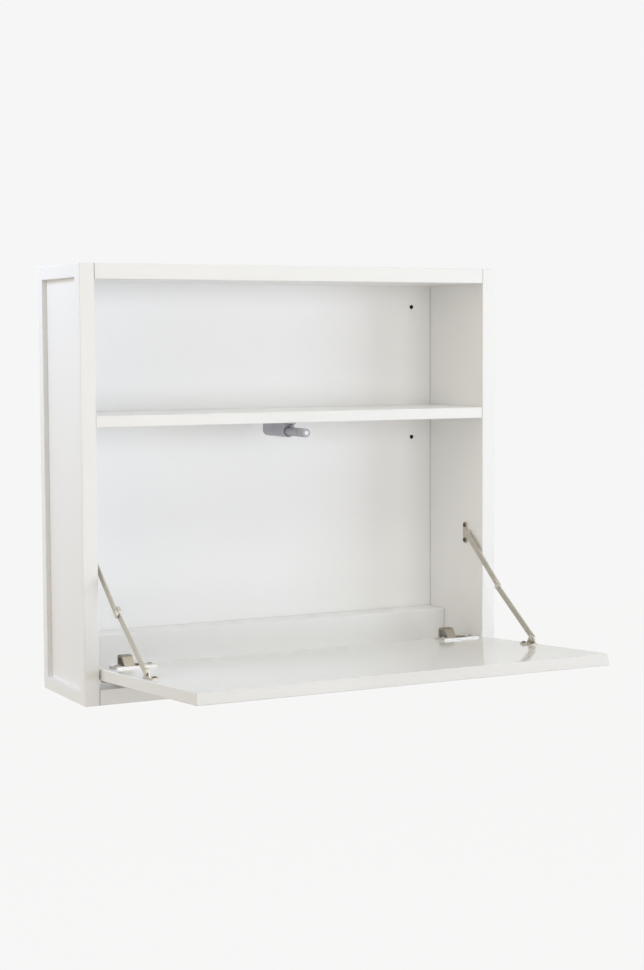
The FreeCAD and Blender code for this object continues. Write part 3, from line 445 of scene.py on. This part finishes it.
def beech(name, settings):
    """Plain beech with its short fleck, for the dowels."""
    material, nodes, shader, place = new_finish(name, settings.roughness)
    stretched = nodes.add("ShaderNodeMapping", Vector=place, Scale=(settings.fleck_stretch, 1, 1))
    fleck = nodes.noise(stretched.outputs[0], settings.fleck_width, settings.fleck_detail)
    nodes.put(shader.inputs["Base Color"], toned(nodes, settings.colour, fleck, settings.fleck_spread))
    add_bump(nodes, shader, fleck, settings.fleck_depth)
    return material


def finish_nodes(names, material):
    """Give some carried-over pieces one finish."""
    for name in names:
        mesh = frame["nodes"][name].data
        mesh.materials.clear()
        mesh.materials.append(material)


def fastener_places(node, outward, rise):
    """Where each fastener of a node sits: the point under its head, and which way its head points."""
    loose = bmesh.new()
    loose.from_mesh(frame["nodes"][node].data)
    bmesh.ops.remove_doubles(loose, verts=loose.verts, dist=WELD_DISTANCE)
    places = []
    waiting = set(loose.verts)
    while waiting:
        island = set()
        front = [waiting.pop()]
        while front:
            vert = front.pop()
            island.add(vert)
            for edge in vert.link_edges:
                other = edge.other_vert(vert)
                if other in waiting:
                    waiting.remove(other)
                    front.append(other)
        low = Vector([min(vert.co[axis] for vert in island) for axis in range(3)])
        high = Vector([max(vert.co[axis] for vert in island) for axis in range(3)])
        middle = (low + high) / 2
        direction = outward(middle)
        crown = max(vert.co.dot(direction) for vert in island)
        seat = middle + direction * (crown - rise - middle.dot(direction))
        places.append((seat, direction))
    loose.free()
    return sorted(places, key=lambda place: tuple(place[0]))


def screw_tree():
    """Geometry nodes that set a cross-head screw on every point, turned at random about its axis."""
    tree = bpy.data.node_groups.new("Cross head screws", "GeometryNodeTree")
    tree.interface.new_socket("Geometry", in_out="INPUT", socket_type="NodeSocketGeometry")
    sizes = (
        "Head Radius", "Head Rise", "Shank Radius", "Tip Radius", "Reach", "Overlap",
        "Cross Width", "Cross Span", "Cross Depth")
    for name in sizes:
        tree.interface.new_socket(name, in_out="INPUT", socket_type="NodeSocketFloat")
    tree.interface.new_socket("Seed", in_out="INPUT", socket_type="NodeSocketInt")
    tree.interface.new_socket("Material", in_out="INPUT", socket_type="NodeSocketMaterial")
    tree.interface.new_socket("Geometry", in_out="OUTPUT", socket_type="NodeSocketGeometry")
    nodes = Nodes(tree)
    given = nodes.add("NodeGroupInput").outputs
    doubled = ("Head Radius", "Cross Depth", "Head Rise")
    twice = {name: nodes.maths("MULTIPLY", given[name], 2) for name in doubled}

    dome = nodes.add("GeometryNodeMeshUVSphere", Segments=HEAD_SEGMENTS, Rings=HEAD_RINGS, Radius=1)
    dome = nodes.add(
        "GeometryNodeTransform", Geometry=dome.outputs["Mesh"],
        Scale=nodes.vector(given["Head Radius"], given["Head Radius"], given["Head Rise"]))
    under_size = nodes.vector(twice["Head Radius"], twice["Head Radius"], twice["Head Rise"])
    under = nodes.add("GeometryNodeMeshCube", Size=under_size)
    wider = 1 + CUTTER_OVERRUN_SHARE
    under = nodes.add(
        "GeometryNodeTransform", Geometry=under.outputs["Mesh"], Scale=(wider, wider, 1),
        Translation=nodes.vector(z=nodes.maths("MULTIPLY", given["Head Rise"], -1)))
    crown = nodes.vector(z=given["Head Rise"])
    bars = []
    for across, along in (("Cross Span", "Cross Width"), ("Cross Width", "Cross Span")):
        bar = nodes.add(
            "GeometryNodeMeshCube", Size=nodes.vector(given[across], given[along], twice["Cross Depth"]))
        bars.append(nodes.add("GeometryNodeTransform", Geometry=bar.outputs["Mesh"], Translation=crown))
    head = nodes.add("GeometryNodeMeshBoolean", {"operation": "DIFFERENCE", "solver": "EXACT"})
    nodes.put(head.inputs["Mesh 1"], dome.outputs["Geometry"])
    for cutter in [under] + bars:
        nodes.put(head.inputs["Mesh 2"], cutter.outputs["Geometry"])

    shank = nodes.add(
        "GeometryNodeMeshCone", Vertices=SHANK_SEGMENTS, Side_Segments=1, Fill_Segments=1,
        Radius_Top=given["Shank Radius"], Radius_Bottom=given["Tip Radius"],
        Depth=nodes.maths("ADD", given["Reach"], given["Overlap"]))
    shank = nodes.add(
        "GeometryNodeTransform", Geometry=shank.outputs["Mesh"],
        Translation=nodes.vector(z=nodes.maths("MULTIPLY", given["Reach"], -1)))
    whole = nodes.add("GeometryNodeMeshBoolean", {"operation": "UNION", "solver": "EXACT"})
    for part in (head.outputs["Mesh"], shank.outputs["Geometry"]):
        nodes.put(whole.inputs["Mesh 2"], part)

    axis = nodes.add("GeometryNodeInputNamedAttribute", {"data_type": "FLOAT_VECTOR"}, Name="screw_axis")
    aim = nodes.add("FunctionNodeAlignRotationToVector", {"axis": "Z"}, Vector=axis.outputs["Attribute"])
    spin = nodes.add("FunctionNodeRandomValue", {"data_type": "FLOAT"}, Seed=given["Seed"])
    spin_range = [socket for socket in spin.inputs if socket.type == "VALUE" and socket.enabled]
    spin_range[1].default_value = QUARTER_TURN
    spun = next(socket for socket in spin.outputs if socket.type == "VALUE" and socket.enabled)
    turn = nodes.add("FunctionNodeAxisAngleToRotation", Axis=(0, 0, 1), Angle=spun)
    aim = nodes.add(
        "FunctionNodeRotateRotation", {"rotation_space": "LOCAL"}, Rotation=aim.outputs[0],
        Rotate_By=turn.outputs[0])
    copies = nodes.add(
        "GeometryNodeInstanceOnPoints", Points=given["Geometry"], Instance=whole.outputs["Mesh"],
        Rotation=aim.outputs[0])
    real = nodes.add("GeometryNodeRealizeInstances", Geometry=copies.outputs[0])
    dressed = nodes.add("GeometryNodeSetMaterial", Geometry=real.outputs[0], Material=given["Material"])
    nodes.add("NodeGroupOutput", Geometry=dressed.outputs[0])
    return tree


def plain_mesh(carrier, name):
    """Turn what an object's nodes make into a plain mesh piece."""
    view = bpy.context.evaluated_depsgraph_get()
    mesh = bpy.data.meshes.new_from_object(carrier.evaluated_get(view))
    mesh.name = name
    mesh.shade_smooth()
    mesh.set_sharp_from_angle(angle=SHARP_ANGLE)
    piece = bpy.data.objects.new(name, mesh)
    bpy.context.scene.collection.objects.link(piece)
    bpy.data.objects.remove(carrier)
    return piece


def set_screws(tree, node, body, outward, sizes, material):
    """Set detailed screws where a node's plain ones are, and let them stand for that node."""
    places = fastener_places(node, outward, sizes["Head Rise"])
    points = bpy.data.meshes.new(node + "_points")
    points.from_pydata([seat for seat, direction in places], [], [])
    axes = points.attributes.new("screw_axis", "FLOAT_VECTOR", "POINT")
    for entry, (seat, direction) in zip(axes.data, places):
        entry.vector = direction
    carrier = bpy.data.objects.new(node + "_carrier", points)
    bpy.context.scene.collection.objects.link(carrier)
    modifier = carrier.modifiers.new("Screws", "NODES")
    modifier.node_group = tree
    values = dict(sizes, Material=material)
    for item in tree.interface.items_tree:
        if item.in_out == "INPUT" and item.name in values:
            modifier[item.identifier] = values[item.name]
    piece = plain_mesh(carrier, "cross_head_" + node)
    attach(piece, body)
    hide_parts(node)


def screw_sizes(settings, head, rise, shank, reach):
    """Inputs of the screw tree for one kind of screw."""
    return {
        "Head Radius": head / 2,
        "Head Rise": rise,
        "Shank Radius": shank / 2,
        "Tip Radius": shank / 2 * settings.tip_share,
        "Reach": reach,
        "Overlap": rise * settings.overlap_share,
        "Cross Width": head * settings.cross_width_share,
        "Cross Span": head * settings.cross_span_share,
        "Cross Depth": rise * settings.cross_depth_share,
        "Seed": settings.seed,
    }


def upward(place):
    """A head that points up."""
    return UP


def downward(place):
    """A head that points down."""
    return -UP


def inward(place):
    """A head that points from a side to the middle."""
    return -ACROSS if place.x > 0 else ACROSS


def off_flap(place):
    """A head that points away from the flap's upper face."""
    return FLAP_UP


class DESK_OT_boards(bpy.types.Operator):
    """Lacquer the carcass boards and the flap, and leave the dowels bare"""

    bl_idname = "desk.boards"
    bl_label = "Boards"

    def execute(self, context):
        settings = context.scene.desk_lacquer
        satin = (settings.board_roughness, settings.board_shine)
        gloss = (settings.flap_roughness, settings.flap_shine)
        board = settings.board_colour
        # Painted shade lines at the inner corners, where boards meet the side walls and the back
        sides = ("X", INNER_HALF_WIDTH - settings.shade_seam_width / 2)
        rear = ("Y", BACK_FACE_DEPTH + settings.shade_seam_width / 2)
        # Painted light: the back panel gets a whiter lacquer than the boards, lifting the shaded inside
        back = lacquer(
            "white_back_lacquer", settings, settings.back_painted_light_colour, *satin, [sides], raw_holes=True)
        finish_nodes(SIDE_BOARDS, lacquer("white_board_lacquer", settings, board, *satin))
        finish_nodes(CROSS_BOARDS, lacquer("white_cross_lacquer", settings, board, *satin, [sides]))
        finish_nodes(INNER_BOARDS, lacquer("white_inner_lacquer", settings, board, *satin, [sides, rear]))
        finish_nodes(["back_panel"], back)
        # Painted shade: the flap's lacquer is greyer than the boards' to dim its upper face
        finish_nodes(["flap"], lacquer("white_flap_lacquer", settings, settings.flap_shaded_colour, *gloss))
        finish_nodes(["wood_dowels"], beech("dowel_beech", context.scene.desk_dowels))
        return {"FINISHED"}


class DESK_OT_hinges(bpy.types.Operator):
    """Plate the cup hinges and their pins"""

    bl_idname = "desk.hinges"
    bl_label = "Hinges"

    def execute(self, context):
        settings = context.scene.desk_metal
        dull = settings.roughness
        bright = plating("cup_nickel", settings, settings.cup_colour, settings.cup_roughness)
        finish_nodes(HINGE_CUPS, bright)
        # Painted shade: the arms get a darker nickel than the cups, standing in for their dim reflections
        finish_nodes(HINGE_ARMS, plating("hinge_nickel", settings, settings.hinge_shaded_colour, dull))
        finish_nodes(HINGE_PINS, plating("pin_nickel", settings, settings.rivet_colour, dull))
        return {"FINISHED"}


class DESK_OT_stays(bpy.types.Operator):
    """Plate the folding stays and their rivets"""

    bl_idname = "desk.stays"
    bl_label = "Stays"

    def execute(self, context):
        settings = context.scene.desk_metal
        dull = settings.roughness
        finish_nodes(STAY_PIECES, plating("stay_nickel", settings, settings.stay_colour, dull))
        finish_nodes(STAY_RIVETS, plating("rivet_nickel", settings, settings.rivet_colour, dull))
        return {"FINISHED"}


class DESK_OT_latch(bpy.types.Operator):
    """Give the push latch its moulded finishes"""

    bl_idname = "desk.latch"
    bl_label = "Push Latch"

    def execute(self, context):
        settings = context.scene.desk_latch
        housing = moulding("latch_housing_grey", settings, settings.housing_colour)
        finish_nodes(["latch_housing", "latch_tube"], housing)
        finish_nodes(["latch_cap"], moulding("latch_cap_grey", settings, settings.cap_colour))
        finish_nodes(["latch_tip"], moulding("latch_tip_white", settings, settings.tip_colour))
        return {"FINISHED"}


class DESK_OT_screws(bpy.types.Operator):
    """Set cross-head screws in the hinges, stays and latch"""

    bl_idname = "desk.screws"
    bl_label = "Screws"

    def execute(self, context):
        settings = context.scene.desk_screws
        metal = context.scene.desk_metal
        zinc = plating("screw_zinc", metal, metal.screw_colour, metal.roughness)
        nickel = plating("screw_nickel", metal, metal.hinge_screw_colour, metal.roughness)
        tree = screw_tree()
        wood = screw_sizes(
            settings, settings.wood_head, settings.wood_rise, settings.wood_shank, settings.wood_reach)
        machine = screw_sizes(
            settings, settings.arm_head, settings.arm_rise, settings.arm_shank, settings.arm_reach)
        for node, body, outward, sizes, material in (
            ("hinge_plate_screws", "carcass", upward, wood, nickel),
            ("hinge_arm_screws", "carcass", upward, machine, nickel),
            ("stay_side_screws", "carcass", inward, wood, zinc),
            ("latch_screws", "carcass", downward, wood, zinc),
            ("hinge_cup_screws", "flap", off_flap, wood, nickel),
            ("stay_flap_screws", "flap", off_flap, wood, zinc),
        ):
            set_screws(tree, node, body, outward, sizes, material)
        return {"FINISHED"}


def floor_finish(settings):
    """Pale floor that the camera sees almost as the backdrop, with the desk's soft shadow left in it."""
    material = bpy.data.materials.new("pale_floor")
    material.use_nodes = True
    nodes = Nodes(material.node_tree)
    material.node_tree.nodes.clear()
    path = nodes.add("ShaderNodeLightPath").outputs
    matt = nodes.add("ShaderNodeBsdfDiffuse", Color=rgba(settings.floor_colour))
    glow = nodes.add(
        "ShaderNodeEmission", Color=rgba(settings.backdrop_colour), Strength=settings.floor_glow)
    seen = nodes.maths("MAXIMUM", path["Is Camera Ray"], path["Is Glossy Ray"])
    share = nodes.maths("MULTIPLY", seen, 1 - settings.shadow_share)
    mix = nodes.add("ShaderNodeMixShader")
    nodes.put(mix.inputs[0], share)
    nodes.put(mix.inputs[1], matt.outputs[0])
    nodes.put(mix.inputs[2], glow.outputs[0])
    nodes.add("ShaderNodeOutputMaterial", Surface=mix.outputs[0])
    return material


def add_floor(settings):
    """A square floor below the desk."""
    half = settings.floor_width / 2
    level = cad_box[0][2] - settings.floor_drop
    mesh = bpy.data.meshes.new("floor")
    mesh.from_pydata(
        [(-half, -half, level), (half, -half, level), (half, half, level), (-half, half, level)], [],
        [(0, 1, 2, 3)])
    mesh.materials.append(floor_finish(settings))
    floor = bpy.data.objects.new("floor", mesh)
    bpy.context.scene.collection.objects.link(floor)


def set_sky(settings):
    """Light from both sides, and the pale backdrop where it is seen or mirrored."""
    world = bpy.data.worlds.new("Studio")
    world.use_nodes = True
    bpy.context.scene.world = world
    nodes = Nodes(world.node_tree)
    world.node_tree.nodes.clear()
    path = nodes.add("ShaderNodeLightPath").outputs
    straight = nodes.maths("MAXIMUM", path["Is Camera Ray"], path["Is Transmission Ray"])
    seen = nodes.maths("MAXIMUM", straight, path["Is Glossy Ray"])
    heading = nodes.add("ShaderNodeTexCoord").outputs["Generated"]
    across = nodes.add("ShaderNodeSeparateXYZ", Vector=heading).outputs["X"]
    leftward = nodes.maths("MULTIPLY", nodes.maths("MINIMUM", across, 0), -settings.sky_left)
    rightward = nodes.maths("MULTIPLY", nodes.maths("MAXIMUM", across, 0), settings.sky_right)
    strength = nodes.maths("ADD", leftward, rightward)
    light = nodes.add("ShaderNodeBackground", Color=rgba(settings.sky_colour), Strength=strength)
    backdrop = nodes.add("ShaderNodeBackground", Color=rgba(settings.backdrop_colour), Strength=1.0)
    mix = nodes.add("ShaderNodeMixShader")
    nodes.put(mix.inputs[0], seen)
    nodes.put(mix.inputs[1], light.outputs[0])
    nodes.put(mix.inputs[2], backdrop.outputs[0])
    nodes.add("ShaderNodeOutputWorld", Surface=mix.outputs[0])


def add_lamp(name, colour, power, width, place, target):
    """A square soft lamp aimed at a point."""
    lamp = bpy.data.lights.new(name, "AREA")
    lamp.color = colour
    lamp.energy = power
    lamp.size = width
    holder = bpy.data.objects.new(name, lamp)
    holder.location = place
    holder.rotation_euler = (Vector(target) - Vector(place)).to_track_quat("-Z", "Y").to_euler()
    bpy.context.scene.collection.objects.link(holder)


def add_camera(settings):
    """The camera, turned right, leaned down and rolled."""
    yaw = settings.camera_yaw
    pitch = settings.camera_pitch
    forward = Vector((
        math.sin(yaw) * math.cos(pitch), math.cos(yaw) * math.cos(pitch), -math.sin(pitch)))
    right = Vector((math.cos(yaw), -math.sin(yaw), 0))
    above = right.cross(forward)
    roll = settings.camera_roll
    rolled_right = right * math.cos(roll) + above * math.sin(roll)
    rolled_above = above * math.cos(roll) - right * math.sin(roll)
    turn = Matrix((rolled_right, rolled_above, -forward)).transposed()
    data = bpy.data.cameras.new("Camera")
    data.lens = settings.lens
    camera = bpy.data.objects.new("Camera", data)
    camera.matrix_world = Matrix.Translation(settings.camera_place) @ turn.to_4x4()
    bpy.context.scene.collection.objects.link(camera)
    bpy.context.scene.camera = camera


class DESK_OT_stage(bpy.types.Operator):
    """Add the floor, the light and the camera"""

    bl_idname = "desk.stage"
    bl_label = "Stage"

    def execute(self, context):
        settings = context.scene.desk_stage
        add_floor(settings)
        set_sky(settings)
        for name in ("front", "right", "top", "fill"):
            parts = [getattr(settings, name + end) for end in ("_colour", "_power", "_width", "_place")]
            add_lamp(name + "_lamp", *parts, settings.lamp_target)
        add_camera(settings)
        context.scene.view_settings.view_transform = "Standard"
        return {"FINISHED"}


OPERATORS = (DESK_OT_boards, DESK_OT_hinges, DESK_OT_stays, DESK_OT_latch, DESK_OT_screws, DESK_OT_stage)
SETTINGS = {
    "desk_lacquer": DeskLacquerSettings,
    "desk_dowels": DeskDowelSettings,
    "desk_metal": DeskMetalSettings,
    "desk_latch": DeskLatchSettings,
    "desk_screws": DeskScrewSettings,
    "desk_stage": DeskStageSettings,
}


class DESK_PT_sidebar(bpy.types.Panel):
    """Operators and settings of the desk"""

    bl_idname = "DESK_PT_sidebar"
    bl_label = "Fold Down Wall Desk"
    bl_space_type = "VIEW_3D"
    bl_region_type = "UI"
    bl_category = "Desk"

    def draw(self, context):
        layout = self.layout
        for operator in OPERATORS:
            layout.operator(operator.bl_idname)
        for name, kind in SETTINGS.items():
            box = layout.box()
            box.label(text=kind.__doc__)
            for prop in kind.__annotations__:
                box.prop(getattr(context.scene, name), prop)


def register():
    for kind in SETTINGS.values():
        bpy.utils.register_class(kind)
    for name, kind in SETTINGS.items():
        setattr(bpy.types.Scene, name, PointerProperty(type=kind))
    for kind in OPERATORS + (DESK_PT_sidebar,):
        bpy.utils.register_class(kind)


def unregister():
    for kind in reversed(OPERATORS + (DESK_PT_sidebar,)):
        bpy.utils.unregister_class(kind)
    for name in SETTINGS:
        delattr(bpy.types.Scene, name)
    for kind in SETTINGS.values():
        bpy.utils.unregister_class(kind)


def main():
    register()
    bpy.ops.desk.boards()
    bpy.ops.desk.hinges()
    bpy.ops.desk.stays()
    bpy.ops.desk.latch()
    bpy.ops.desk.screws()
    bpy.ops.desk.stage()


if __name__ == "__main__":
    main()
